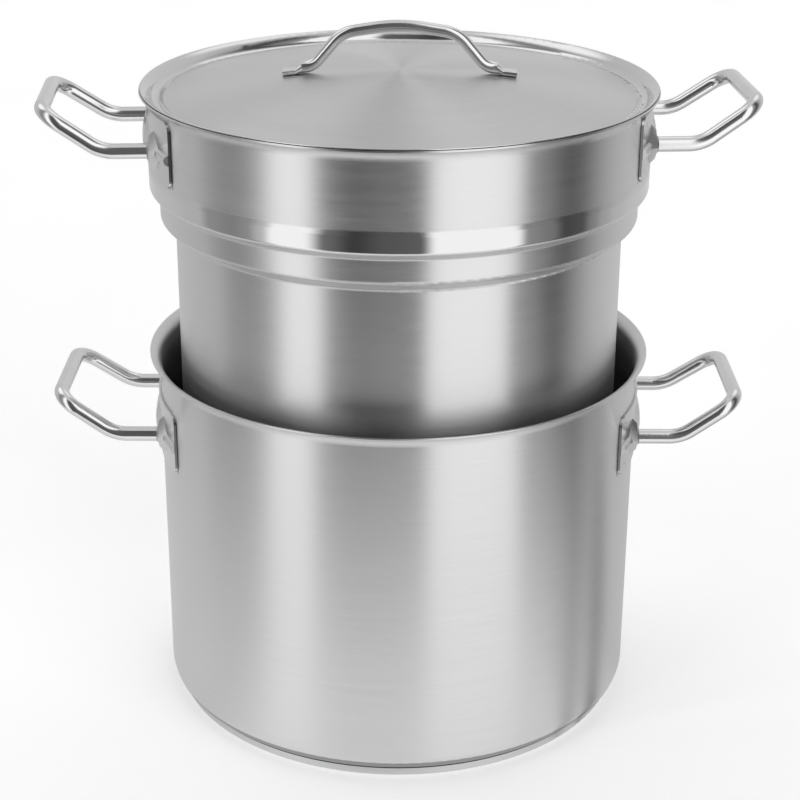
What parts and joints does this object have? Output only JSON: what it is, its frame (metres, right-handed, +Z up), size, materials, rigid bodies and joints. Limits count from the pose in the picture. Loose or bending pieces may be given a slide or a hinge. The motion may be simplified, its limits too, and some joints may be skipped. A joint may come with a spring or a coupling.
{
  "type": "double boiler",
  "caption": "Stainless steel stockpot double boiler: boiler pot with bent-rod handles, stepped insert pot that hangs in its rim, and a domed lid with a rod handle.",
  "frame": {"origin": "centre of the boiler pot's base, on the surface that it stands on", "axes": "+X towards the right-hand handles, +Y to the back, +Z up along the pots' common axis"},
  "size_m": [0.4248, 0.3072, 0.4255],
  "materials": {
    "boiler_steel": "satin, brushed round the wall",
    "insert_steel": "satin, brushed round the wall, with a polished seat band",
    "lid_steel": "fine satin dome with a polished flange",
    "base_steel": "satin",
    "core_aluminium": "plain, sealed inside the base",
    "bracket_steel": "polished stamped steel",
    "handle_steel": "polished steel rod",
    "lid_handle_steel": "polished steel rod",
    "weld_steel": "cleaned weld"
  },
  "bodies": {
    "boiler_pot": {"boiler_shell": "boiler_steel", "boiler_base_core": "core_aluminium", "boiler_base_cap": "base_steel", "boiler_bracket_left": "bracket_steel", "boiler_handle_left": "handle_steel", "boiler_handle_welds_left": "weld_steel", "boiler_bracket_right": "bracket_steel", "boiler_handle_right": "handle_steel", "boiler_handle_welds_right": "weld_steel"},
    "insert_pot": {"insert_shell": "insert_steel", "insert_bracket_left": "bracket_steel", "insert_handle_left": "handle_steel", "insert_handle_welds_left": "weld_steel", "insert_bracket_right": "bracket_steel", "insert_handle_right": "handle_steel", "insert_handle_welds_right": "weld_steel"},
    "lid": {"lid_disc": "lid_steel", "lid_handle": "lid_handle_steel"}
  },
  "joints": [
    {"name": "insert_lift", "type": "slide", "parent": "boiler_pot", "child": "insert_pot", "axis": [0, 0, 1], "range_m": [-0.1062, 0.12]},
    {"name": "lid_lift", "type": "slide", "parent": "insert_pot", "child": "lid", "axis": [0, 0, 1], "range_m": [0, 0.12]}
  ]
}
